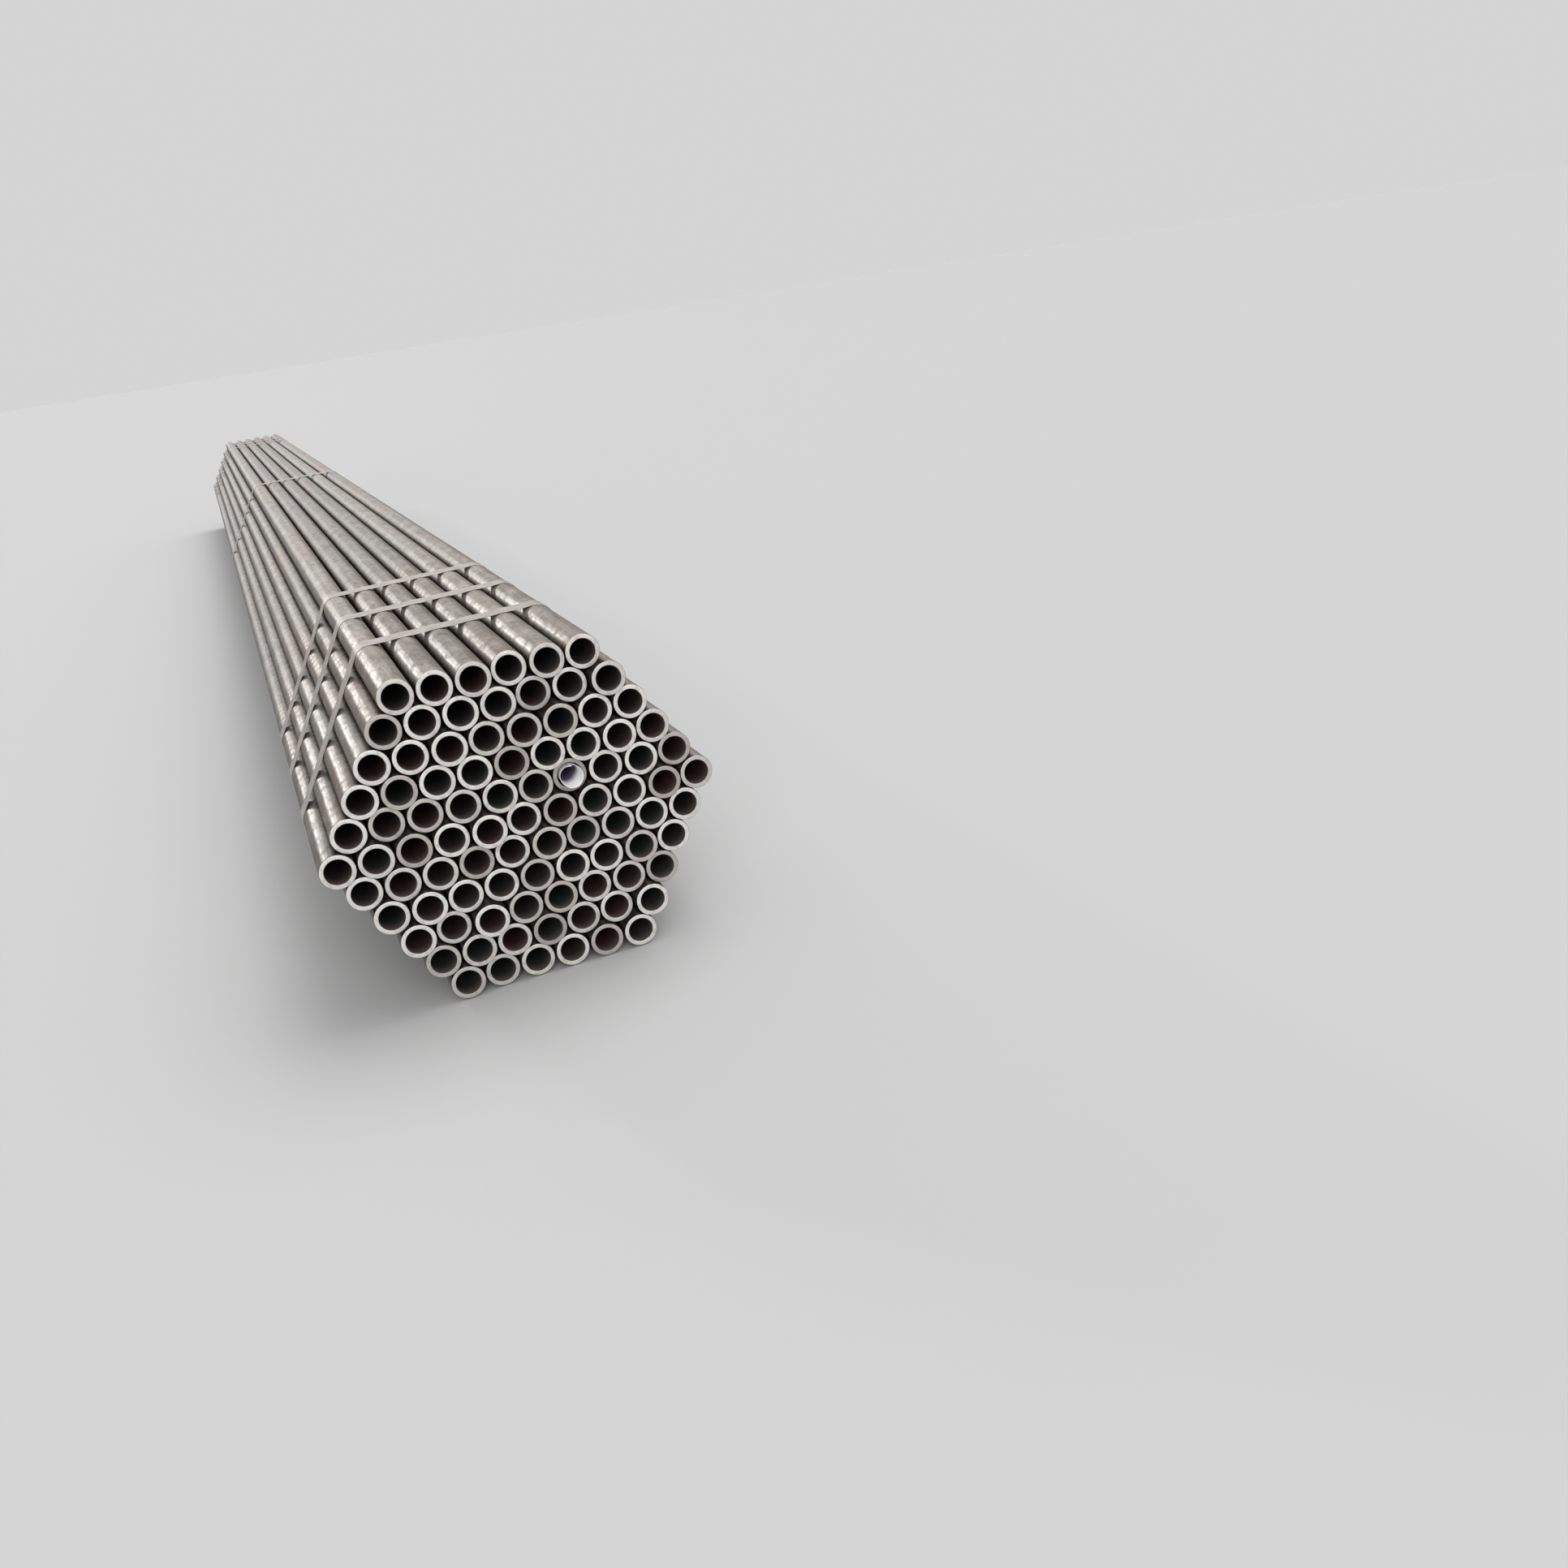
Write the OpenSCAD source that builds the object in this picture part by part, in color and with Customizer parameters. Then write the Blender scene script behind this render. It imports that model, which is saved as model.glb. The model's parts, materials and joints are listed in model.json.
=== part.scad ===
// A strapped hexagonal bundle of plain steel pipes, lying on its lowest layer.
// The pipes run along Y and the layers stack along Z. The origin is on the floor, midway
// along the bundle and midway across it.

/* [Pipes] */
// Outside diameter of a pipe
pipe_od = 42; // [34:1:54]
// Wall thickness of a pipe
pipe_wall = 5.5; // [3:0.5:8]
// Length of a pipe
pipe_length = 6000; // [4000:100:12000]

/* [Bundle] */
// Number of pipes along each side of the hexagon
side_count = 6; // [4:1:7]
// Gap between neighbouring pipes of one layer
layer_gap = 1.7; // [0.5:0.1:4]
// Gap between a pipe and the two pipes that it nests in
nest_gap = 0.3; // [0.2:0.05:0.8]
// How far a pipe's ends may stand out of line, each way
end_stagger = 10; // [5:1:30]

/* [Straps] */
// Width of a steel strap
strap_width = 32; // [16:1:40]
// Thickness of a steel strap
strap_thickness = 0.9; // [0.6:0.1:1.5]
// Clearance between a strap and the pipes it holds
strap_clearance = 0.2; // [0.1:0.05:0.4]
// Number of straps near each end, besides the one at mid-length
end_straps = 3; // [1:1:4]
// From the mean line of the pipe ends to the middle of the nearest strap
first_strap = 232; // [100:1:500]
// Spacing of the straps near each end
strap_spacing = 208; // [100:1:300]
// Length over which a strap's two ends lie on each other
strap_overlap = 90; // [60:1:120]

/* [Seals] */
// Sheet thickness of the seal that is crimped round the strap's two ends
seal_sheet = 0.8; // [0.5:0.1:1]
// Clearance between a seal and the strap inside it
seal_clearance = 0.1; // [0.05:0.05:0.3]
// Clearance between a seal and the pipes on each side of it
seal_pipe_gap = 0.3; // [0.2:0.05:0.6]

/* [Paper tag] */
// Layer of the pipe that holds the rolled tag, counted from the floor
tag_layer = 7; // [1:1:7]
// Place of that pipe in its layer, counted along +X
tag_place = 7; // [1:1:7]
// Height of the rolled sheet, along the pipe
tag_length = 120; // [60:5:200]
// Length of the roll that stands out of the pipe
tag_out = 12; // [5:1:20]
// Thickness of the rolled sheet
tag_sheet = 0.6; // [0.4:0.1:1]
// Clearance between the roll and the pipe's bore
tag_clearance = 0.3; // [0.2:0.05:0.6]
// Angle that the roll covers round the bore
tag_wrap = 320; // [250:5:345]
// Direction in which the roll is open, from +X towards +Z
tag_open_at = 130; // [0:5:355]

/* [Hidden] */
$fn = 64;

layer_count = 2 * side_count - 1;
strap_count = 2 * end_straps + 1;
pipe_r = pipe_od / 2;
bore_r = pipe_r - pipe_wall;

// Pipes touch across the layers, so the gap within a layer sets how low the layers nest
pitch_x = pipe_od + layer_gap;
pitch_slant = pipe_od + nest_gap;
pitch_z = sqrt(pow(pitch_slant, 2) - pow(pitch_x / 2, 2));
first_layer_z = strap_thickness + strap_clearance + pipe_r;

// The strap's inner and outer radius where it turns round a corner pipe
strap_in_r = pipe_r + strap_clearance;
strap_out_r = strap_in_r + strap_thickness;
bend_steps = 12;

// The hexagon's six corner pipes, anticlockwise from the widest layer's right end
mid_z = layer_z(side_count);
half_wide = (layer_size(side_count) - 1) / 2 * pitch_x;
half_narrow = (side_count - 1) / 2 * pitch_x;
corners = [
    [half_wide, mid_z],
    [half_narrow, layer_z(layer_count)],
    [-half_narrow, layer_z(layer_count)],
    [-half_wide, mid_z],
    [-half_narrow, layer_z(1)],
    [half_narrow, layer_z(1)]
];

// A seal lies over the valley nearest the middle of its side, and is as long as the valley
// leaves free above the two pipes beside it
seal_reach = seal_sheet + seal_clearance - strap_clearance;
seal_shy = sqrt(pow(pipe_r, 2) - pow(pipe_r - seal_reach - seal_pipe_gap, 2));
seal_length = pitch_slant - 2 * seal_shy;
seal_at = (floor((side_count - 1) / 2) + 0.5) * pitch_slant;

function layer_size(layer) = side_count + min(layer, layer_count + 1 - layer) - 1;
function layer_z(layer) = first_layer_z + (layer - 1) * pitch_z;
function pipe_x(layer, place) = (place - (layer_size(layer) + 1) / 2) * pitch_x;

// Quarter steps of the stagger, scattered at random. Most ends are nearly in line and a few
// are well out of it; the tagged pipe sits back fully.
function scatter(seed) = round(4 * pow(rands(-1, 1, 1, seed)[0], 3)) / 4;
function pipe_shift(layer, place) =
    layer == tag_layer && place == tag_place
        ? end_stagger
        : end_stagger * scatter(layer * 2 * side_count + place);

// Straps from the near end, one group at each end and one strap at mid-length
function end_strap_y(index) = first_strap + (index - 1) * strap_spacing - pipe_length / 2;
function strap_y(index) =
    index <= end_straps ? end_strap_y(index)
    : index == end_straps + 1 ? 0
    : -end_strap_y(strap_count + 1 - index);

// A side runs from its corner to the next; the loop turns at each corner
function side_angle(side) =
    let (step = corners[(side + 1) % 6] - corners[side]) atan2(step[1], step[0]);
function turn_at(corner) = (side_angle(corner) - side_angle((corner + 5) % 6) + 360) % 360;
function loop_points(radius) = [
    for (corner = [0 : 5])
        for (step = [0 : bend_steps])
            let (angle = side_angle(corner) - 90 - turn_at(corner) * (1 - step / bend_steps))
                corners[corner] + radius * [cos(angle), sin(angle)]
];

function layer_name(layer) = str("pipe_layer_", layer < 10 ? "0" : "", layer);
function strap_name(index) = str("strap_", index);
function seal_name(index) = str("strap_seal_", index);

// One pipe along Y, centred on the origin
module pipe() {
    rotate([90, 0, 0])
        difference() {
            cylinder(r = pipe_r, h = pipe_length, center = true);
            cylinder(r = bore_r, h = pipe_length + 2, center = true);
        }
}

// One layer of separate pipes
module pipe_layer(layer) {
    color([0.49, 0.45, 0.43])
        for (place = [1 : layer_size(layer)])
            translate([pipe_x(layer, place), pipe_shift(layer, place), layer_z(layer)])
                pipe();
}

// Places its children at a corner pipe, with X along the side that follows the corner and
// Y pointing outwards from that side; Z is then along the bundle
module on_side(side, y) {
    translate([corners[side][0], y, corners[side][1]])
        rotate([90, 0, 0])
            rotate(side_angle(side))
                mirror([0, 1, 0])
                    children();
}

// A flat stretch of strap, from start to end along the side and from low to high above the
// line through the pipe centres
module flat_stretch(start, end, low, high, width) {
    translate([start, low, -width / 2])
        cube([end - start, high - low, width]);
}

// One closed strap: a loop drawn taut round the six corner pipes, and the overlap of its ends,
// which starts half a thickness down so that it is one piece with the loop
module strap(index) {
    color([0.66, 0.63, 0.58])
        union() {
            translate([0, strap_y(index), 0])
                rotate([90, 0, 0])
                    linear_extrude(strap_width, center = true)
                        difference() {
                            polygon(loop_points(strap_out_r));
                            polygon(loop_points(strap_in_r));
                        }
            on_side(0, strap_y(index))
                flat_stretch(
                    seal_at - strap_overlap / 2,
                    seal_at + strap_overlap / 2,
                    strap_out_r - strap_thickness / 2,
                    strap_out_r + strap_thickness,
                    strap_width
                );
        }
}

// The sheet-steel sleeve round the strap's overlapping ends
module strap_seal(index) {
    low = strap_in_r - seal_clearance;
    high = strap_out_r + strap_thickness + seal_clearance;
    inner_width = strap_width + 2 * seal_clearance;
    start = seal_at - seal_length / 2;
    end = seal_at + seal_length / 2;
    color([0.60, 0.58, 0.54])
        on_side(0, strap_y(index))
            difference() {
                flat_stretch(
                    start, end, low - seal_sheet, high + seal_sheet, inner_width + 2 * seal_sheet
                );
                flat_stretch(start - 1, end + 1, low, high, inner_width);
            }
}

// The blank sheet rolled up in one pipe's bore
module paper_tag() {
    roll_r = bore_r - tag_clearance;
    front = pipe_shift(tag_layer, tag_place) - pipe_length / 2 - tag_out;
    color([0.92, 0.92, 0.90])
        translate([pipe_x(tag_layer, tag_place), front, layer_z(tag_layer)])
            rotate([90, 0, 0])
                rotate(tag_open_at + (360 - tag_wrap) / 2)
                    rotate_extrude(angle = tag_wrap)
                        translate([roll_r - tag_sheet, -tag_length])
                            square([tag_sheet, tag_length]);
}

for (layer = [1 : layer_count])
    pipe_layer(layer);
for (index = [1 : strap_count])
    strap(index);
for (index = [1 : strap_count])
    strap_seal(index);
paper_tag();
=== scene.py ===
"""Looks of the strapped bundle of steel pipes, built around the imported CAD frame."""

import json
import math
import random
from collections import defaultdict, namedtuple

import bpy
import numpy as np
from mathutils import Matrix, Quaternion, Vector


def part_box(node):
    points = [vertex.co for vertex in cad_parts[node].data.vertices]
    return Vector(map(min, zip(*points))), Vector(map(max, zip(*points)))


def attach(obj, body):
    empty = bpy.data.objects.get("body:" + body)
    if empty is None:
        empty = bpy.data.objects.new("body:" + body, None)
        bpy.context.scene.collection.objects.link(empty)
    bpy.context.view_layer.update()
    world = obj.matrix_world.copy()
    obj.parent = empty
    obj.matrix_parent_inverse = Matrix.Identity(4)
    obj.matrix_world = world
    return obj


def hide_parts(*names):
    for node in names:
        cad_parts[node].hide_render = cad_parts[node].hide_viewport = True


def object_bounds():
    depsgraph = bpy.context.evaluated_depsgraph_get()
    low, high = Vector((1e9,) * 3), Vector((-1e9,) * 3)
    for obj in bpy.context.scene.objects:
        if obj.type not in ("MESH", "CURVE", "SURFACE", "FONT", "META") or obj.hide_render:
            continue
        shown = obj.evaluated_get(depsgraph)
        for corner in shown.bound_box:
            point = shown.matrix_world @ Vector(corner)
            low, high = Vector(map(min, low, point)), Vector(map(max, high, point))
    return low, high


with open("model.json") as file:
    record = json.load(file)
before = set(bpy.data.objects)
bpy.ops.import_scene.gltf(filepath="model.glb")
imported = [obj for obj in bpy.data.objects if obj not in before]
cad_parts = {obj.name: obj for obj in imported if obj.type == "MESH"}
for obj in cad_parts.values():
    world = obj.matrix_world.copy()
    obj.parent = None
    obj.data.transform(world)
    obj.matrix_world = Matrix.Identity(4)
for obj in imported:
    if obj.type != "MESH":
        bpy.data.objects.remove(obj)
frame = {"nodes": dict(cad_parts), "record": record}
cad_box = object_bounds()

# ---------------------------------------------------------------- sizes that the frame doesn't state
MM = 0.001
PIPE_SIDES = 64
OUTER_BEVEL = 1.0 * MM
BORE_BEVEL = 0.45 * MM
# Depths of the rings near a bore's mouth, where its tone, lightened by painted light, changes
# quickly
MOUTH_RINGS = (60 * MM, 36 * MM, 20 * MM, 8 * MM)
# How far the middle of a saw cut lies behind its foremost point at most, and how ragged it is
CUT_TILT, CUT_RAGGED = 0.30 * MM, 0.08 * MM
# Lead of the faint helix that rolling leaves round a pipe
ROLLING_LEAD = 28 * MM
# Clearance to the next pipe where the painted shade in a seam is full, and where it ends
SEAM_DEEP, SEAM_OPEN = 2 * MM, 8.8 * MM
STRAP_THICKNESS = 0.9 * MM
STRAP_EDGE = 0.22 * MM
# How far a taut strap bows in between two pipes that it lies on
STRAP_BOW = 0.6 * MM
# Half of the length over which a strap's free end lies on it
TAIL_REACH = 45 * MM
SEAL_EDGE, SEAL_CHAMFER = 0.35 * MM, 2.6 * MM
# Where a seal is crimped and how wide, as parts of its length
CRIMPS, CRIMP_WIDTH = (-0.27, 0.0, 0.27), 0.055
# How far a crimp pinches a seal's sides, and the flanks above and below them
PINCH_SIDE, PINCH_FLANK = 0.9 * MM, 0.7 * MM
TAG_SHEET = 0.4 * MM
# Where the tag's inner edge is, from +X towards +Z, and the angle that the sheet covers
TAG_START, TAG_WRAP = math.radians(75), math.radians(378)
# How far the tag's outer edge stays inside the CAD's roll, how far the sheet spirals in from
# there, and how far it waves
TAG_SHY, TAG_SPIRAL, TAG_WAVE = 0.7 * MM, 1.6 * MM, 0.3 * MM
# How far back the upper left of the tag's mouth stands, and how ragged the mouth is
TAG_ASKEW, TAG_RAGGED = 7.5 * MM, 0.4 * MM
# How far the tag's lower right leans in, as a part of its radius, and over what depth
TAG_LEAN, TAG_LEAN_IN = 0.36, 10 * MM
# Brightness of the sky at the top and at the horizon, and of the backdrop behind everything.
# The sky's left side is dimmer and its right side brighter by SKY_LEAN.
SKY_TOP, SKY_LOW, BACKDROP, SKY_LEAN = 1.2, 0.06, 0.66, 0.9
FLOOR_REACH, FLOOR_GREY = 150.0, 0.52
# The camera's place from the middle of the bundle's near end, its lens in mm, and its angles
CAMERA_PLACE, CAMERA_LENS = (-0.228, -1.509, 0.547), 30.83
CAMERA_AZIMUTH, CAMERA_ELEVATION, CAMERA_ROLL = (math.radians(a) for a in (20.3, 20.3, 8.9))

Pipe = namedtuple("Pipe", "layer place x z front back radius")


# ---------------------------------------------------------------- reading the frame
def islands(mesh):
    """The connected parts of a mesh, each as an array of its points."""
    parent = list(range(len(mesh.vertices)))

    def root(i):
        while parent[i] != i:
            parent[i] = parent[parent[i]]
            i = parent[i]
        return i

    for edge in mesh.edges:
        parent[root(edge.vertices[0])] = root(edge.vertices[1])
    points = np.array([v.co for v in mesh.vertices])
    groups = defaultdict(list)
    for i in range(len(points)):
        groups[root(i)].append(i)
    return [points[g] for g in groups.values()]


def pipes_of(layer):
    """A layer's pipes from left to right. A pipe's outer wall is its widest long surface."""
    walls = [
        (p.min(0), p.max(0))
        for p in islands(frame["nodes"][layer].data)
        if np.ptp(p[:, 1]) > 1.0
    ]
    width = max(high[0] - low[0] for low, high in walls)
    walls = [(low, high) for low, high in walls if high[0] - low[0] > 0.95 * width]
    return [
        Pipe(
            layer,
            place,
            (low[0] + high[0]) / 2,
            (low[2] + high[2]) / 2,
            low[1],
            high[1],
            width / 2,
        )
        for place, (low, high) in enumerate(sorted(walls, key=lambda w: w[0][0]), 1)
    ]


layers = sorted(n for n in frame["nodes"] if n.startswith("pipe_layer"))
pipes = {layer: pipes_of(layer) for layer in layers}
axes = np.array([(p.x, p.z) for row in pipes.values() for p in row])
bore_r = frame["record"]["mounts"][0]["dims"]["r_mm"] * MM


# ---------------------------------------------------------------- shader helpers
class Shader:
    """A material's node tree, with one call for each node and its inputs."""

    def __init__(self, name):
        self.material = bpy.data.materials.new(name)
        self.material.use_nodes = True
        self.tree = self.material.node_tree
        self.tree.nodes.clear()

    def add(self, kind, inputs=None, **settings):
        """A node. inputs maps a socket's name or number to a socket or a constant."""
        node = self.tree.nodes.new("ShaderNode" + kind)
        for name, value in settings.items():
            setattr(node, name, value)
        for key, value in (inputs or {}).items():
            if isinstance(value, bpy.types.NodeSocket):
                self.tree.links.new(value, node.inputs[key])
            else:
                node.inputs[key].default_value = value
        return node

    def attribute(self, name, kind="Fac"):
        return self.add("Attribute", attribute_name=name).outputs[kind]

    def math(self, operation, a, b=0.0, c=0.0):
        return self.add("Math", {0: a, 1: b, 2: c}, operation=operation).outputs[0]

    def stretch(self, vector, scale):
        inputs = {"Vector": vector, "Scale": scale}
        return self.add("Mapping", inputs).outputs[0]

    def noise(self, vector, scale, detail=2.0, roughness=0.5, distortion=0.0):
        inputs = {
            "Vector": vector,
            "Scale": scale,
            "Detail": detail,
            "Roughness": roughness,
            "Distortion": distortion,
        }
        return self.add("TexNoise", inputs).outputs["Fac"]

    def remap(self, value, low, high, to_low=0.0, to_high=1.0):
        inputs = {0: value, 1: low, 2: high, 3: to_low, 4: to_high}
        return self.add("MapRange", inputs).outputs[0]

    def mix(self, factor, a, b, blend="MIX"):
        inputs = {"Factor": factor, 6: a, 7: b}
        settings = {"data_type": "RGBA", "blend_type": blend}
        return self.add("Mix", inputs, **settings).outputs[2]

    def bump(self, height, strength, distance, below=None):
        inputs = {"Height": height, "Strength": strength, "Distance": distance}
        if below is not None:
            inputs["Normal"] = below
        return self.add("Bump", inputs).outputs[0]

    def finish(self, **inputs):
        named = {key.replace("_", " "): value for key, value in inputs.items()}
        principled = self.add("BsdfPrincipled", named)
        self.add("OutputMaterial", {"Surface": principled.outputs[0]})
        return self.material


def rgb(red, green, blue):
    """A shader colour from its sRGB values, 0 to 255."""

    def linear(value):
        value = value / 255
        return value / 12.92 if value <= 0.04045 else ((value + 0.055) / 1.055) ** 2.4

    return (linear(red), linear(green), linear(blue), 1.0)


# ---------------------------------------------------------------- materials
def mill_scale():
    """A pipe's outside: grey-brown scale with flakes, lengthwise streaks and a little rust."""
    s = Shader("mill_scale")
    own = s.attribute("own", "Vector")
    tone = s.attribute("tone")
    shade = s.attribute("shade")
    rust = s.attribute("rust")
    seam = s.attribute("seam")
    streaks = s.noise(s.stretch(own, (1, 0.02, 1)), 300, 4, 0.6)
    bands = s.noise(s.stretch(own, (1, 0.25, 1)), 8, 3, 0.55)
    flakes = s.noise(s.stretch(own, (1, 0.6, 1)), 110, 4, 0.62, 0.4)
    grain = s.noise(own, 620, 3, 0.6)
    pits = s.noise(own, 260, 2, 0.5)
    blotches = s.noise(s.stretch(own, (1, 0.45, 1)), 38, 3, 0.6)

    warm = s.mix(tone, rgb(149, 133, 126), rgb(151, 139, 127))
    cool = s.mix(tone, rgb(144, 137, 131), rgb(140, 140, 132))
    colour = s.mix(s.remap(bands, 0.36, 0.64), cool, warm)
    colour = s.mix(s.remap(blotches, 0.52, 0.66, 0.0, 0.55), colour, rgb(184, 172, 163))
    colour = s.mix(s.remap(blotches, 0.48, 0.34, 0.0, 0.6), colour, rgb(111, 99, 91))
    colour = s.mix(s.remap(streaks, 0.48, 0.70, 0.0, 0.35), colour, rgb(196, 189, 180))
    colour = s.mix(s.remap(flakes, 0.50, 0.66, 0.0, 0.55), colour, rgb(111, 100, 93))
    colour = s.mix(s.remap(pits, 0.60, 0.74, 0.0, 0.50), colour, rgb(82, 71, 66))
    colour = s.mix(s.remap(grain, 0.55, 0.80, 0.0, 0.45), colour, rgb(208, 201, 193))
    patch = s.math("MULTIPLY", s.remap(bands, 0.50, 0.72), rust)
    colour = s.mix(patch, colour, rgb(158, 133, 116))
    # The lower half of a pipe is darker, rougher and less shiny than its top. Its darker colour is
    # painted shade.
    radius = pipes[layers[0]][0].radius
    upper = s.remap(s.attribute("across_z"), -0.3 * radius, 0.9 * radius)
    painted_underside_shade = s.mix(upper, (0.37, 0.34, 0.315, 1), (1, 1, 1, 1))
    colour = s.mix(1.0, colour, painted_underside_shade, "MULTIPLY")
    level = s.remap(shade, 0.0, 1.0, 0.80, 1.12)
    grey = s.add("CombineColor", {0: level, 1: level, 2: level}).outputs[0]
    colour = s.mix(1.0, colour, grey, "MULTIPLY")
    # Painted shade: the seams between pipes darken towards rgb(36, 28, 25), broken up by the flakes
    uneven = s.math("MULTIPLY_ADD", s.math("SUBTRACT", flakes, 0.5), 0.6, seam)
    seam_shade = s.remap(uneven, 0.05, 0.85)
    colour = s.mix(s.math("MULTIPLY", seam_shade, 0.95), colour, rgb(36, 28, 25))

    angle = s.math("ARCTAN2", s.attribute("across_z"), s.attribute("across_x"))
    turn = s.math("MULTIPLY_ADD", s.attribute("along"), 2 * math.pi / ROLLING_LEAD, angle)
    helix = s.math("SINE", turn)
    dents = s.noise(s.stretch(own, (1, 0.22, 1)), 60, 2, 0.5)
    ridges = s.math("MULTIPLY", helix, s.remap(bands, 0.35, 0.65))
    normal = s.bump(ridges, 1.0, 0.18 * MM)
    normal = s.bump(dents, 1.0, 0.45 * MM, normal)
    normal = s.bump(flakes, 0.5, 0.20 * MM, normal)
    normal = s.bump(grain, 0.5, 0.12 * MM, normal)
    clean = s.remap(flakes, 0.35, 0.65, 0.29, 0.44)
    roughness = s.math("MAXIMUM", clean, s.math("MULTIPLY", seam_shade, 0.95))
    roughness = s.math("MAXIMUM", roughness, s.remap(upper, 0.0, 1.0, 0.9, 0.2))
    shine = s.remap(seam_shade, 0.0, 1.0, 0.5, 0.05)
    shine = s.math("MULTIPLY", shine, s.remap(upper, 0.0, 1.0, 0.4, 1.0))
    return s.finish(
        Base_Color=colour,
        Metallic=0.35,
        Roughness=roughness,
        Specular_IOR_Level=shine,
        Normal=normal,
    )


def cut_steel():
    """A pipe's sawn end: bright steel with faint saw marks, duller on some pipes."""
    s = Shader("cut_steel")
    own = s.attribute("own", "Vector")
    fresh = s.attribute("fresh")
    marks = s.noise(s.stretch(own, (0.12, 1, 1)), 900, 3, 0.6)
    stain = s.noise(own, 150, 3, 0.55)
    colour = s.mix(fresh, rgb(156, 148, 141), rgb(218, 215, 210))
    colour = s.mix(s.remap(stain, 0.45, 0.75, 0.0, 0.45), colour, rgb(137, 127, 118))
    normal = s.bump(marks, 0.25, 0.08 * MM)
    roughness = s.remap(marks, 0.3, 0.7, 0.34, 0.5)
    return s.finish(Base_Color=colour, Metallic=0.35, Roughness=roughness, Normal=normal)


def bore_scale():
    """A pipe's inside: dark scale, brownish or greenish, with painted light near its mouth."""
    s = Shader("bore_scale")
    own = s.attribute("own", "Vector")
    tone = s.attribute("tone")
    cloud = s.noise(s.stretch(own, (1, 0.2, 1)), 60, 3, 0.6)
    colour = s.mix(s.remap(tone, 0.25, 0.75), rgb(68, 44, 42), rgb(46, 55, 51))
    colour = s.mix(s.remap(cloud, 0.4, 0.7, 0.0, 0.5), colour, rgb(84, 72, 66))
    # Painted light: the bore is lighter near its mouth and fades to its own dark colour 22 mm in
    mouth = s.remap(s.attribute("inset"), 0.0, 22 * MM, 0.75, 0.0)
    colour = s.mix(mouth, colour, rgb(124, 112, 105))
    normal = s.bump(cloud, 0.4, 0.2 * MM)
    return s.finish(Base_Color=colour, Metallic=0.2, Roughness=0.62, Normal=normal)


def strap_steel():
    """Flat strip steel: dulled, with fine lengthwise lines, scuffs and specks of rust."""
    s = Shader("strap_steel")
    own = s.attribute("own", "Vector")
    drawn = s.noise(s.stretch(own, (0.012, 1, 1)), 1100, 3, 0.65)
    scuffs = s.noise(s.stretch(own, (0.7, 1, 1)), 90, 4, 0.6)
    specks = s.noise(own, 420, 2, 0.5)
    colour = s.mix(s.remap(scuffs, 0.35, 0.65), rgb(172, 164, 157), rgb(205, 198, 192))
    colour = s.mix(s.remap(drawn, 0.48, 0.7, 0.0, 0.42), colour, rgb(132, 124, 117))
    colour = s.mix(s.remap(specks, 0.66, 0.74, 0.0, 0.6), colour, rgb(118, 99, 86))
    normal = s.bump(drawn, 0.4, 0.08 * MM)
    normal = s.bump(scuffs, 0.3, 0.4 * MM, normal)
    roughness = s.remap(scuffs, 0.3, 0.7, 0.34, 0.50)
    return s.finish(Base_Color=colour, Metallic=0.6, Roughness=roughness, Normal=normal)


def seal_steel():
    """Sheet steel of a seal: a little darker than the strap, scratched by the crimping tool."""
    s = Shader("seal_steel")
    own = s.attribute("own", "Vector")
    scratches = s.noise(s.stretch(own, (1, 0.05, 1)), 700, 3, 0.6)
    cloud = s.noise(own, 110, 3, 0.6)
    colour = s.mix(s.remap(cloud, 0.35, 0.65), rgb(150, 145, 138), rgb(182, 177, 169))
    colour = s.mix(s.remap(scratches, 0.6, 0.8, 0.0, 0.6), colour, rgb(108, 100, 93))
    normal = s.bump(scratches, 0.35, 0.08 * MM)
    roughness = s.remap(cloud, 0.3, 0.7, 0.3, 0.46)
    return s.finish(Base_Color=colour, Metallic=0.75, Roughness=roughness, Normal=normal)


def tag_paper():
    """The blank rolled sheet: white, faintly creased, a little soiled, with painted shade deep in.
    """
    s = Shader("tag_paper")
    own = s.attribute("own", "Vector")
    fibres = s.noise(own, 900, 3, 0.6)
    creases = s.noise(s.stretch(own, (1, 0.3, 1)), 60, 3, 0.6, 0.6)
    soil = s.noise(own, 90, 4, 0.6)
    soiled = s.remap(soil, 0.52, 0.75, 0.0, 0.3)
    colour = s.mix(soiled, rgb(250, 250, 248), rgb(214, 207, 200))
    # Painted shade: deeper in the bore the sheet darkens to a purple grey
    deep = s.remap(s.attribute("inset"), 14 * MM, 28 * MM)
    colour = s.mix(deep, colour, rgb(122, 110, 132))
    normal = s.bump(creases, 0.5, 0.6 * MM)
    normal = s.bump(fibres, 0.2, 0.05 * MM, normal)
    roughness = s.remap(fibres, 0.3, 0.7, 0.5, 0.65)
    return s.finish(Base_Color=colour, Roughness=roughness, Normal=normal)


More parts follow.
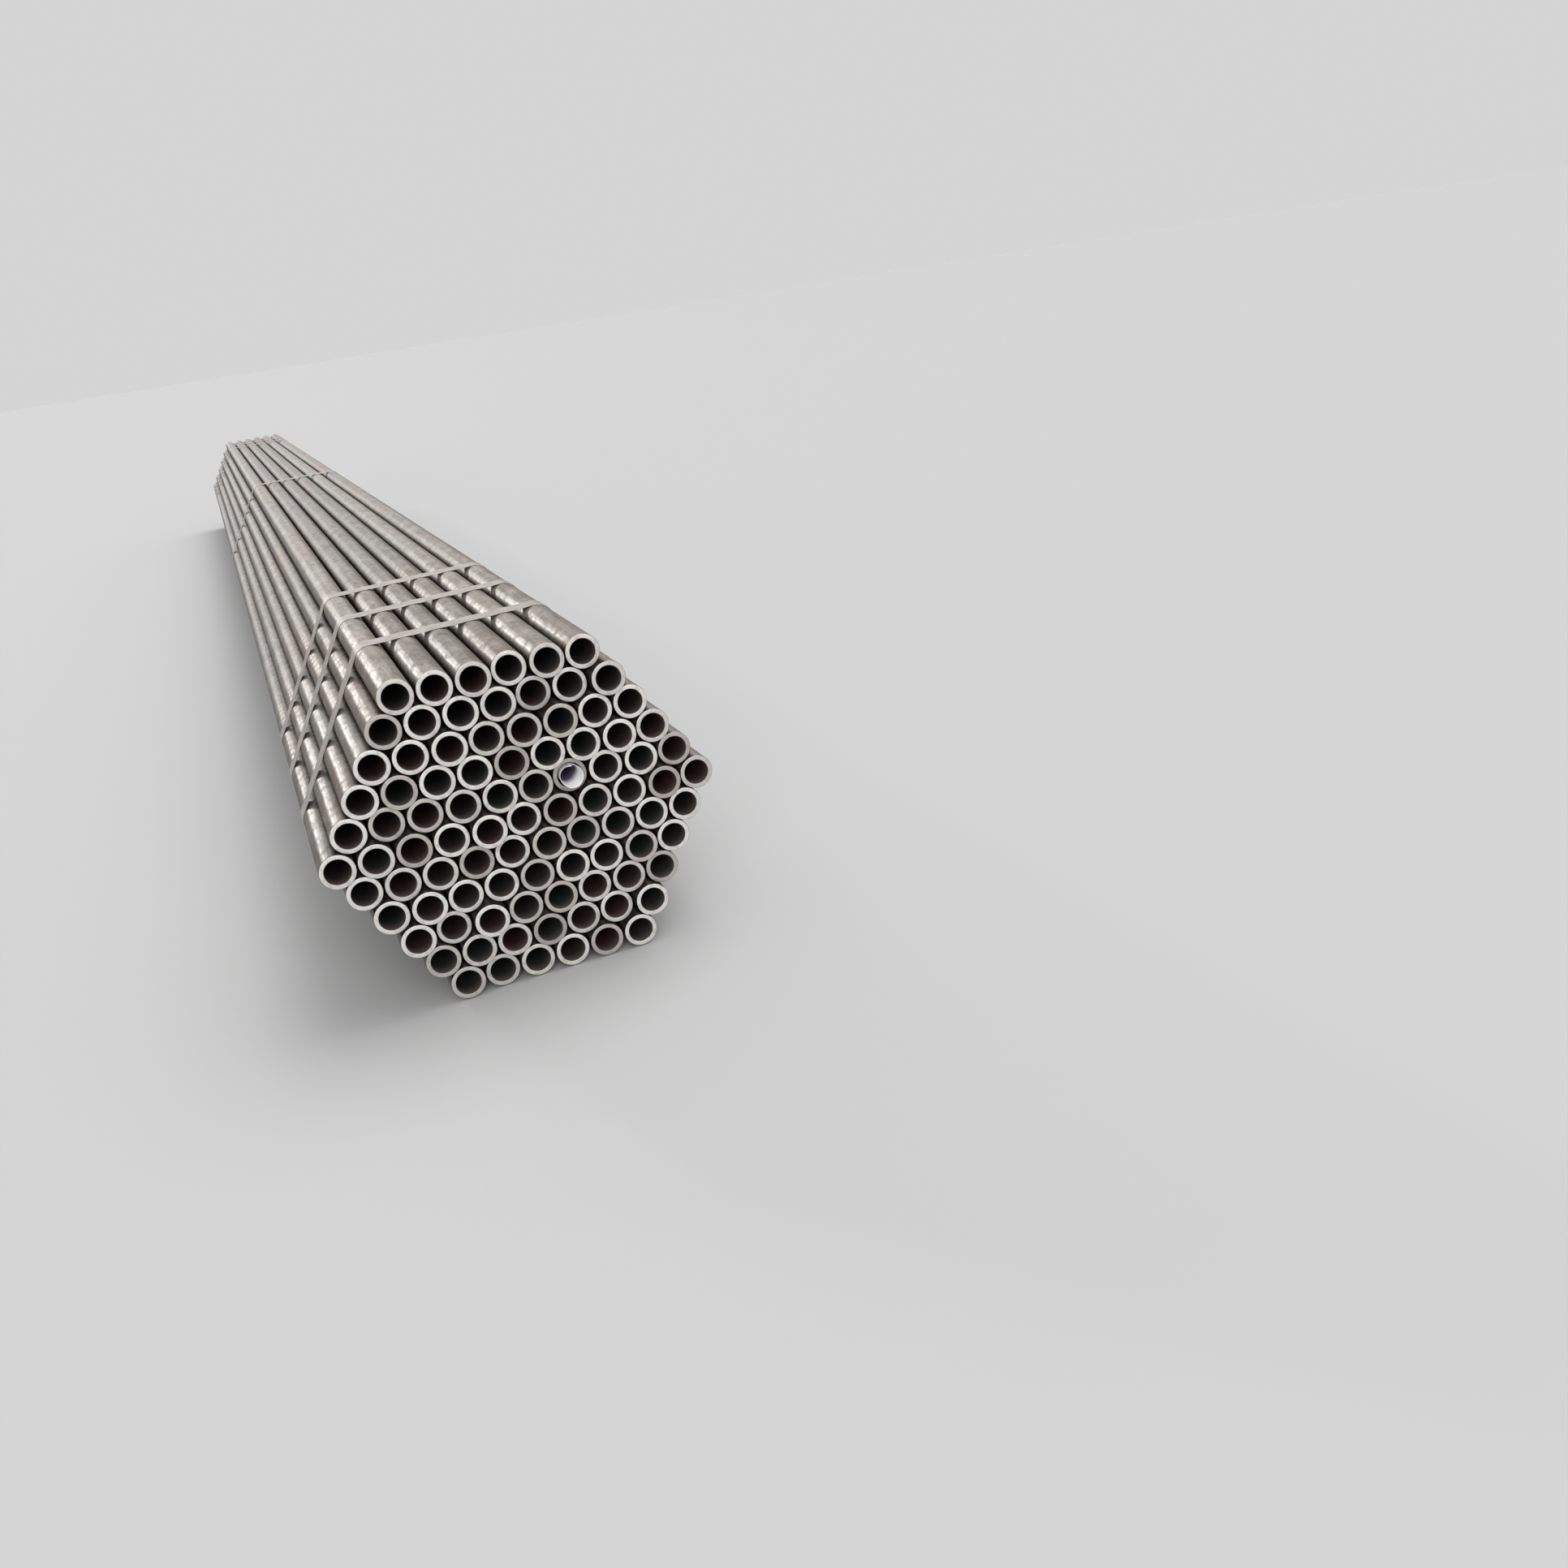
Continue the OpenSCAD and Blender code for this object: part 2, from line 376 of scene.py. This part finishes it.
# ---------------------------------------------------------------- mesh helpers
def make_piece(name, points, faces, slots, materials, attributes, sharp_deg=35, uv=None):
    """A mesh object in the row frame that rides on the bundle's one body."""
    mesh = bpy.data.meshes.new(name)
    mesh.from_pydata(np.asarray(points).tolist(), [], np.asarray(faces, object).tolist())
    if uv is not None:
        mesh.uv_layers.new(name="OFBake").data.foreach_set("uv", np.ravel(uv))
    for material in materials:
        mesh.materials.append(material)
    mesh.polygons.foreach_set("material_index", slots)
    mesh.polygons.foreach_set("use_smooth", [True] * len(faces))
    for key, (kind, values) in attributes.items():
        layer = mesh.attributes.new(key, kind, "POINT")
        field = "vector" if kind == "FLOAT_VECTOR" else "value"
        layer.data.foreach_set(field, np.asarray(values, np.float32).ravel())
    mesh.set_sharp_from_angle(angle=math.radians(sharp_deg))
    piece = bpy.data.objects.new(name, mesh)
    bpy.context.scene.collection.objects.link(piece)
    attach(piece, "root")
    return piece


def grid_faces(rings, sides, close_rings, close_sides):
    """Quads between rings of points, ring by ring, and the ring number of each quad."""
    faces, owner = [], []
    for i in range(rings if close_rings else rings - 1):
        for j in range(sides if close_sides else sides - 1):
            a, b = i * sides, (i + 1) % rings * sides
            k = (j + 1) % sides
            faces.append((a + j, a + k, b + k, b + j))
            owner.append(i)
    return faces, owner


def end_caps(rings, sides):
    """The two faces that close a row of rings at its ends."""
    last = (rings - 1) * sides
    return [tuple(range(sides - 1, -1, -1)), tuple(range(last, last + sides))]


# ---------------------------------------------------------------- pipes
Band = namedtuple("Band", "tile slot")
# Margin that a band leaves at the sides of its tile, as a part of the tile
TILE_MARGIN = 0.005
# Where each part of a pipe lies in its region of the texture, as (left, low, right, high)
SHOWN_TILES = {
    "wall": (0.0, 0.0, 1.0, 0.885),
    "front": (0.005, 0.894, 0.200, 0.998),
    "back": (0.205, 0.894, 0.400, 0.998),
    "front_mouth": (0.41, 0.895, 0.60, 0.995),
    "back_mouth": (0.61, 0.895, 0.80, 0.995),
    "deep": (0.81, 0.895, 0.99, 0.995),
}
INNER_TILES = {
    "wall": (0.71, 0.51, 0.84, 0.98),
    "front": (0.01, 0.01, 0.49, 0.49),
    "back": (0.51, 0.01, 0.99, 0.49),
    "front_mouth": (0.01, 0.51, 0.34, 0.98),
    "back_mouth": (0.36, 0.51, 0.69, 0.98),
    "deep": (0.86, 0.51, 0.98, 0.98),
}
SCALE, CUT, BORE = 0, 1, 2


def pipe_rings(pipe, columns):
    """The pipe's section as rings (radius, distance from the front end, end that it leans with),
    from the front mouth out over the wall to the back mouth, and the band after each ring."""
    outer, inner, length = pipe.radius, bore_r, pipe.back - pipe.front
    curve = [(math.sin(t), 1 - math.cos(t)) for t in np.radians((0, 30, 60, 90))]
    end = [(inner, inset) for inset in MOUTH_RINGS]
    end += [(inner, BORE_BEVEL), (inner + BORE_BEVEL, 0.0)]
    end += [(outer - OUTER_BEVEL * (1 - a), OUTER_BEVEL * b) for a, b in curve]
    bands = [("_mouth", BORE)] * len(MOUTH_RINGS)
    bands += [("", CUT), ("", CUT), ("", CUT), ("", SCALE), ("", SCALE)]
    rings = [(r, inset, 1 if inset < MOUTH_RINGS[-1] else 0) for r, inset in end]
    span = length - 2 * OUTER_BEVEL
    rings += [(outer, OUTER_BEVEL + span * k / columns, 0) for k in range(1, columns)]
    rings += [
        (r, length - inset, -1 if inset < MOUTH_RINGS[-1] else 0) for r, inset in end[::-1]
    ]
    after = [Band("front" + tile, slot) for tile, slot in bands]
    after += [Band(k, SCALE) for k in range(columns)]
    after += [Band("back" + tile, slot) for tile, slot in bands[::-1]]
    after.append(Band("deep", BORE))
    return rings, after


def band_uv(band, tiles, columns, ends, around):
    """The texture places of one band's quads: corners in the order that grid_faces gives."""
    column = band.tile if isinstance(band.tile, int) else None
    left, low, right, high = tiles["wall" if column is not None else band.tile]
    if band.tile in ("front", "back"):
        radius = 1.02 * max(r for r, _ in ends[2])
        a, b = (r * around / (2 * radius) + 0.5 for r, _ in ends[:2])
        quads = np.stack([a[:-1], a[1:], b[1:], b[:-1]], 1)
    else:
        turn = np.linspace(2 * TILE_MARGIN, 1 - 2 * TILE_MARGIN, len(around))
        if column is not None:
            turn = (column + turn) / columns
        start, end = TILE_MARGIN, 1 - TILE_MARGIN
        if band.tile in ("front_mouth", "back_mouth"):
            length = max(place for _, place in ends[2])
            depths = [min(place, length - place) / MOUTH_RINGS[0] for _, place in ends[:2]]
            start, end = (TILE_MARGIN + (1 - 2 * TILE_MARGIN) * depth for depth in depths)
        a = np.stack([turn, np.full_like(turn, start)], 1)
        b = np.stack([turn, np.full_like(turn, end)], 1)
        quads = np.stack([a[:-1], a[1:], b[1:], b[:-1]], 1)
    return np.array([left, low]) + quads * np.array([right - left, high - low])


def seam_depth(pipe, around):
    """How deep each direction round a pipe lies in its seams: 0 in the open, 1 at a touch."""
    walls = np.array([pipe.x, pipe.z]) + pipe.radius * around
    others = axes[np.hypot(axes[:, 0] - pipe.x, axes[:, 1] - pipe.z) > pipe.radius]
    gap = np.linalg.norm(walls[:, None] - others[None], axis=2) - pipe.radius
    near = np.clip((SEAM_OPEN - gap) / (SEAM_OPEN - SEAM_DEEP), 0, 1)
    return 1 - np.prod(1 - near, axis=1)


def pipe_mesh(pipe, tiles, columns, region):
    """One pipe as one closed skin: points, quads, material slots, texture places, attributes."""
    chance = random.Random(f"{pipe.layer}/{pipe.place}")
    rings, bands = pipe_rings(pipe, columns)
    length = pipe.back - pipe.front
    angle = np.linspace(0, 2 * math.pi, PIPE_SIDES + 1)
    around = np.stack([np.cos(angle), np.sin(angle)], 1)
    lean = {}
    for end in (1, -1):
        tilt, to = chance.uniform(0.1, 1.0) * CUT_TILT, chance.uniform(0, 2 * math.pi)
        ragged = np.array([chance.uniform(0, CUT_RAGGED) for _ in angle[:-1]])
        lean[end] = end * (tilt * (1 + np.cos(angle[:-1] - to)) + ragged)
    lean[0] = np.zeros(PIPE_SIDES)
    points = np.concatenate(
        [
            np.stack(
                [
                    pipe.x + radius * around[:-1, 0],
                    pipe.front + inset + lean[end],
                    pipe.z + radius * around[:-1, 1],
                ],
                1,
            )
            for radius, inset, end in rings
        ]
    )
    faces, owner = grid_faces(len(rings), PIPE_SIDES, True, True)
    uv = []
    for i, band in enumerate(bands):
        ends = (rings[i][:2], rings[(i + 1) % len(rings)][:2], [ring[:2] for ring in rings])
        uv.append(band_uv(band, tiles, columns, ends, around))
    left, low, right, high = region
    uv = np.array([left, low]) + np.array(uv) * np.array([right - left, high - low])
    across = points - np.array([pipe.x, 0, pipe.z])
    own = across + np.array([0, chance.uniform(-50, 50), 0])
    count = len(points)
    facts = {
        "tone": chance.random(),
        "shade": chance.random(),
        "rust": max(0.0, chance.uniform(-0.5, 0.75)),
        "fresh": min(1.0, chance.uniform(0.15, 1.35)),
    }
    attributes = {
        "own": own,
        "across_x": across[:, 0],
        "across_z": across[:, 2],
        "seam": np.tile(seam_depth(pipe, around[:-1]), len(rings)),
        "inset": np.repeat([min(r[1], length - r[1]) for r in rings], PIPE_SIDES),
        "along": own[:, 1],
        **{key: np.full(count, value) for key, value in facts.items()},
    }
    return points, np.array(faces), [bands[i].slot for i in owner], uv.ravel(), attributes


def build_pipes(name, group, tiles, columns, materials):
    """Several pipes as one piece. They share its texture in equal regions."""
    across = math.ceil(math.sqrt(len(group))) if columns == 1 else len(group)
    down = math.ceil(len(group) / across)
    parts = []
    for i, pipe in enumerate(group):
        column, row = i % across, i // across
        region = (column / across, row / down, (column + 1) / across, (row + 1) / down)
        parts.append(pipe_mesh(pipe, tiles, columns, region))
    starts = np.cumsum([0] + [len(part[0]) for part in parts[:-1]])
    points = np.concatenate([part[0] for part in parts])
    faces = np.concatenate([part[1] + start for part, start in zip(parts, starts)])
    slots = [slot for part in parts for slot in part[2]]
    uv = np.concatenate([part[3] for part in parts])
    attributes = {
        key: (
            "FLOAT_VECTOR" if key == "own" else "FLOAT",
            np.concatenate([part[4][key] for part in parts]),
        )
        for key in parts[0][4]
    }
    piece = make_piece(name, points, faces, slots, materials, attributes, 35, uv)
    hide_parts(*sorted({pipe.layer for pipe in group}))


def build_all_pipes(materials):
    """Pipes whose walls show go in pairs, and the rest in three blocks that show only ends."""
    shown, inner = [], []
    for layer in layers:
        row = pipes[layer]
        if layer in (layers[0], layers[-1]):
            shown += [row[i : i + 2] for i in range(0, len(row), 2)]
        else:
            shown.append([row[0], row[-1]])
            inner += row[1:-1]
    for number, pair in enumerate(shown, 1):
        build_pipes(f"outer_pipes_{number:02d}", pair, SHOWN_TILES, 5, materials)
    third = math.ceil(len(inner) / 3)
    for number in range(3):
        block = inner[number * third : (number + 1) * third]
        build_pipes(f"inner_pipes_{number + 1}", block, INNER_TILES, 1, materials)


# ---------------------------------------------------------------- straps and seals
def corner_centres():
    """The six corner pipes, anticlockwise from the widest layer's right end, as (x, z)."""
    middle, top, bottom = (pipes[layers[i]] for i in (len(layers) // 2, -1, 0))
    corner = [middle[-1], top[-1], top[0], middle[0], bottom[0], bottom[-1]]
    return [np.array([p.x, p.z]) for p in corner]


def unit(degrees):
    return np.array([math.cos(math.radians(degrees)), math.sin(math.radians(degrees))])


def side_angles(corners):
    """The direction of each side, from its corner to the next, in degrees."""
    steps = [corners[(i + 1) % 6] - corners[i] for i in range(6)]
    return [math.degrees(math.atan2(z, x)) for x, z in steps]


# How far a strap stands from its square place along the bundle at each corner, from the
# widest layer's right end anticlockwise. A strap is drawn tight a little askew.
STRAP_SKEW = [-9 * MM, 9 * MM, -8 * MM, -6 * MM, 5 * MM, 4 * MM]


def strap_path(corners, radius, skew, arc_steps=10, side_steps=30):
    """The strap's closed path: [(point, outward normal, shift along the bundle)]."""
    angles = side_angles(corners)
    spans = len(pipes[layers[0]]) - 1
    path = []
    for i in range(6):
        turn = (angles[i] - angles[i - 1]) % 360
        for step in range(arc_steps + 1):
            normal = unit(angles[i] - 90 - turn * (1 - step / arc_steps))
            path.append((corners[i] + radius * normal, normal, skew[i]))
        normal = unit(angles[i] - 90)
        start = corners[i] + radius * normal
        end = corners[(i + 1) % 6] + radius * normal
        for step in range(1, side_steps):
            t = step / side_steps
            shift = skew[i] + (skew[(i + 1) % 6] - skew[i]) * t
            bow = STRAP_BOW * math.sin(math.pi * spans * t) ** 2 if i else 0.0
            path.append((start + (end - start) * t - bow * normal, normal, shift))
    return path


def strap_skew(index):
    """One strap's own skew. Its first two corners cancel, so its seal stays in place."""
    chance = random.Random(f"skew {index}")
    own = [skew + chance.uniform(-2, 2) * MM for skew in STRAP_SKEW]
    own[0] = -own[1]
    return own


def seal_slope(skew, corners):
    """How fast a strap runs along the bundle on the side where its seal is."""
    return (skew[1] - skew[0]) / float(np.linalg.norm(corners[1] - corners[0]))


def strip_mesh(path, y, width, thickness, closed):
    """A flat strip with rounded edges swept along a path in the XZ plane."""
    half, deep, edge = width / 2, thickness / 2, STRAP_EDGE
    section = [
        (-half + edge, deep),
        (half - edge, deep),
        (half, deep - edge),
        (half, -deep + edge),
        (half - edge, -deep),
        (-half + edge, -deep),
        (-half, -deep + edge),
        (-half, deep - edge),
    ]
    points, travelled, length = [], [], 0.0
    for i, (place, normal, shift) in enumerate(path):
        if i:
            length += float(np.linalg.norm(place - path[i - 1][0]))
        for across, out in section:
            x, z = place + normal * out
            points.append((x, y + shift + across, z))
            travelled.append((length, across, out))
    faces, _ = grid_faces(len(path), len(section), closed, True)
    if not closed:
        faces += end_caps(len(path), len(section))
    return points, faces, travelled


def build_strap(index, corners, material):
    """One strap: the taut loop, and its free end lying on it under the seal."""
    node = f"strap_{index}"
    low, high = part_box(node)
    chance = random.Random(node)
    y, width = (low.y + high.y) / 2, high.y - low.y
    outer = high.z - corners[1][1]
    skew = strap_skew(index)
    path = strap_path(corners, outer - STRAP_THICKNESS / 2, skew)
    points, faces, travelled = strip_mesh(path, y, width, STRAP_THICKNESS, True)

    # The free end is centred under the seal
    seal_low, seal_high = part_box(f"strap_seal_{index}")
    seal_mid = np.array([(seal_low.x + seal_high.x) / 2, (seal_low.z + seal_high.z) / 2])
    angle = side_angles(corners)[0]
    along, normal = unit(angle), unit(angle - 90)
    start = corners[0] + normal * (outer + STRAP_THICKNESS / 2)
    centre = start + along * float(np.dot(seal_mid - start, along))
    slope = seal_slope(skew, corners)
    tail = [
        (centre + along * TAIL_REACH * t, normal, slope * TAIL_REACH * t)
        for t in np.linspace(-1, 1, 24)
    ]
    more, more_faces, more_travelled = strip_mesh(tail, y, width, STRAP_THICKNESS, False)
    base = len(points)
    points += more
    faces += [tuple(i + base for i in face) for face in more_faces]
    travelled += more_travelled
    own = np.array(travelled) + np.array([chance.uniform(-9, 9), 0, 0])
    piece = make_piece(
        f"steel_{node}",
        points,
        faces,
        [0] * len(faces),
        [material],
        {"own": ("FLOAT_VECTOR", own)},
    )
    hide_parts(node)


def build_seal(index, corners, material):
    """The crimped sleeve round the strap's two ends."""
    node = f"strap_seal_{index}"
    low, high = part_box(node)
    chance = random.Random(node)
    angle = side_angles(corners)[0]
    along, normal = unit(angle), unit(angle - 90)
    centre = np.array([(low.x + high.x) / 2, (low.z + high.z) / 2])
    y = (low.y + high.y) / 2
    half_width = (high.y - low.y) / 2
    # The box of a slanted sleeve gives its length and height by its slant
    slant = math.radians(angle - 90)
    c, s = math.cos(slant), math.sin(slant)
    wide, tall = high.x - low.x, high.z - low.z
    length = (tall * c - wide * s) / (c * c - s * s)
    height = (wide * c - tall * s) / (c * c - s * s)
    slope = seal_slope(strap_skew(index), corners)
    stations = np.linspace(-0.5, 0.5, 41)
    points, travelled = [], []
    for station in stations:
        pinch = max(math.exp(-(((station - k) / CRIMP_WIDTH) ** 2)) for k in CRIMPS)
        side = half_width - PINCH_SIDE * pinch
        top = height / 2
        flank = top - PINCH_FLANK * pinch
        section = [
            (-side + SEAL_EDGE, flank),
            (-side + SEAL_CHAMFER, top),
            (side - SEAL_CHAMFER, top),
            (side - SEAL_EDGE, flank),
            (side, flank - SEAL_EDGE),
            (side, -flank + SEAL_EDGE),
            (side - SEAL_EDGE, -flank),
            (side - SEAL_CHAMFER, -top),
            (-side + SEAL_CHAMFER, -top),
            (-side + SEAL_EDGE, -flank),
            (-side, -flank + SEAL_EDGE),
            (-side, flank - SEAL_EDGE),
        ]
        for across, out in section:
            x, z = centre + along * station * length + normal * out
            points.append((x, y + slope * station * length + across, z))
            travelled.append((station * length, across, out))
    faces, _ = grid_faces(len(stations), len(section), False, True)
    faces += end_caps(len(stations), len(section))
    own = np.array(travelled) + np.array([chance.uniform(-9, 9), 0, 0])
    piece = make_piece(
        f"steel_{node}",
        points,
        faces,
        [0] * len(faces),
        [material],
        {"own": ("FLOAT_VECTOR", own)},
    )
    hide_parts(node)


# ---------------------------------------------------------------- the rolled tag
def build_tag(material):
    """A blank sheet rolled up loosely in one bore, standing a little out of it."""
    low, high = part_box("paper_tag")
    centre_x, centre_z = (low.x + high.x) / 2, (low.z + high.z) / 2
    radius = (high.x - low.x) / 2
    turns, rows = 110, 40
    length = high.y - low.y
    sheet = TAG_SHEET / 2
    angles = np.linspace(TAG_START, TAG_START + TAG_WRAP, turns)
    points, own, insets = [], [], []
    for side in (1, -1):
        for row in range(rows):
            t = row / (rows - 1)
            y = low.y + t * length
            for i, a in enumerate(angles):
                u = i / (turns - 1)
                spiral = radius - sheet - TAG_SHY - TAG_SPIRAL * (1 - u)
                wave = TAG_WAVE * math.sin(3 * a + 3 * t) * (1 - t)
                # The mouth is cut askew: furthest out at the lower right
                askew = 0.5 - 0.5 * math.cos(a + math.radians(45))
                # Behind the mouth the lower right leans in towards the axis
                behind = 1 - math.exp(-t * length / TAG_LEAN_IN)
                lean = TAG_LEAN * (1 - askew) ** 2 * behind
                r = spiral * (1 - lean) + wave + side * sheet
                lip = TAG_ASKEW * askew + TAG_RAGGED * (1 + math.sin(7 * a))
                x, z = centre_x + r * math.cos(a), centre_z + r * math.sin(a)
                points.append((x, y + lip * (1 - t) ** 3, z))
                own.append((a * radius, y, side * sheet))
                insets.append(t * length)
    grid, _ = grid_faces(rows, turns, False, False)
    base = rows * turns
    faces = [f[::-1] for f in grid] + [tuple(i + base for i in f) for f in grid]
    for j in range(turns - 1):
        first, last = j, (rows - 1) * turns + j
        faces.append((first, first + 1, base + first + 1, base + first))
        faces.append((last + 1, last, base + last, base + last + 1))
    for i in range(rows - 1):
        left, right = i * turns, i * turns + turns - 1
        faces.append((left + turns, left, base + left, base + left + turns))
        faces.append((right, right + turns, base + right + turns, base + right))
    piece = make_piece(
        "rolled_tag",
        points,
        faces,
        [0] * len(faces),
        [material],
        {"own": ("FLOAT_VECTOR", own), "inset": ("FLOAT", insets)},
        40,
    )
    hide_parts("paper_tag")


# ---------------------------------------------------------------- stage, lights and camera
def build_floor(middle):
    """A wide pale floor, level with the straps' undersides."""
    mesh = bpy.data.meshes.new("floor")
    corners = [
        (middle.x + FLOOR_REACH * x, middle.y + FLOOR_REACH * y, 0)
        for x, y in ((-1, -1), (1, -1), (1, 1), (-1, 1))
    ]
    mesh.from_pydata(corners, [], [(0, 1, 2, 3)])
    grey = (FLOOR_GREY, FLOOR_GREY, FLOOR_GREY, 1)
    mesh.materials.append(Shader("floor").finish(Base_Color=grey, Roughness=0.9))
    floor = bpy.data.objects.new("floor", mesh)
    bpy.context.scene.collection.objects.link(floor)


def sun_light(name, towards, angle_deg, strength):
    """A sun light that shines from the direction towards, as wide as angle_deg."""
    lamp = bpy.data.lights.new(name, "SUN")
    lamp.angle = math.radians(angle_deg)
    lamp.energy = strength
    light = bpy.data.objects.new(name, lamp)
    light.rotation_mode = "QUATERNION"
    light.rotation_quaternion = Vector(towards).to_track_quat("Z", "Y")
    bpy.context.scene.collection.objects.link(light)


def build_world():
    """Soft light from overhead that fades towards the horizon. The camera sees it as one even,
    pale backdrop."""
    world = bpy.data.worlds.new("studio")
    world.use_nodes = True
    tree = world.node_tree
    nodes, links = tree.nodes, tree.links

    def compute(operation, a, b):
        node = nodes.new("ShaderNodeMath")
        node.operation = operation
        for socket, value in zip(node.inputs, (a, b)):
            if isinstance(value, bpy.types.NodeSocket):
                links.new(value, socket)
            else:
                socket.default_value = value
        return node.outputs[0]

    parts = nodes.new("ShaderNodeSeparateXYZ")
    links.new(nodes.new("ShaderNodeTexCoord").outputs["Generated"], parts.inputs[0])
    height = compute("MAXIMUM", parts.outputs["Z"], 0.0)
    lean = compute("ADD", compute("MULTIPLY", parts.outputs["X"], SKY_LEAN), 1.0)
    dome = compute("MULTIPLY", compute("POWER", height, 2.0), SKY_TOP)
    dome = compute("MULTIPLY", dome, lean)
    dome = compute("ADD", dome, SKY_LOW)
    seen = nodes.new("ShaderNodeLightPath").outputs["Is Camera Ray"]
    strength = nodes.new("ShaderNodeMix")
    links.new(seen, strength.inputs["Factor"])
    links.new(dome, strength.inputs[2])
    strength.inputs[3].default_value = BACKDROP
    background = nodes["Background"]
    background.inputs["Color"].default_value = (1.0, 1.0, 1.0, 1)
    links.new(strength.outputs[0], background.inputs["Strength"])
    bpy.context.scene.world = world
    bpy.context.scene.view_settings.view_transform = "Standard"


def build_camera(near):
    """The camera: in front of the near end, a little to its left and above, and rolled."""
    forward = Vector(
        (
            math.sin(CAMERA_AZIMUTH) * math.cos(CAMERA_ELEVATION),
            math.cos(CAMERA_AZIMUTH) * math.cos(CAMERA_ELEVATION),
            -math.sin(CAMERA_ELEVATION),
        )
    )
    data = bpy.data.cameras.new("camera")
    data.sensor_width = 36.0
    data.lens = CAMERA_LENS
    data.clip_end = 400.0
    camera = bpy.data.objects.new("camera", data)
    camera.location = near + Vector(CAMERA_PLACE)
    camera.rotation_mode = "QUATERNION"
    level = forward.to_track_quat("-Z", "Y")
    camera.rotation_quaternion = level @ Quaternion((0, 0, 1), -CAMERA_ROLL)
    bpy.context.scene.collection.objects.link(camera)
    bpy.context.scene.camera = camera


# ---------------------------------------------------------------- the whole scene
low_corner, high_corner = cad_box
widest = pipes[layers[len(layers) // 2]][0]
half_length = (widest.back - widest.front) / 2
near_end = Vector((0, (low_corner.y + high_corner.y) / 2 - half_length, widest.z))
build_camera(near_end)

build_all_pipes([mill_scale(), cut_steel(), bore_scale()])

corner_places = corner_centres()
strap_material, seal_material = strap_steel(), seal_steel()
strap_count = sum(n.startswith("strap_seal") for n in frame["nodes"])
for number in range(1, strap_count + 1):
    build_strap(number, corner_places, strap_material)
    build_seal(number, corner_places, seal_material)

build_tag(tag_paper())

build_floor((low_corner + high_corner) / 2)
build_world()
sun_light("far_light", (-0.40, 0.86, 0.32), 4, 0.34)
sun_light("roof_light", (-0.27, 0.88, 0.39), 6, 0.16)
sun_light("far_wall", (-0.02, 0.95, 0.28), 30, 0.16)
sun_light("overhead", (0.40, 0.22, 0.89), 40, 1.12)
sun_light("front_fill", (-0.16, -0.94, 0.29), 60, 2.2)
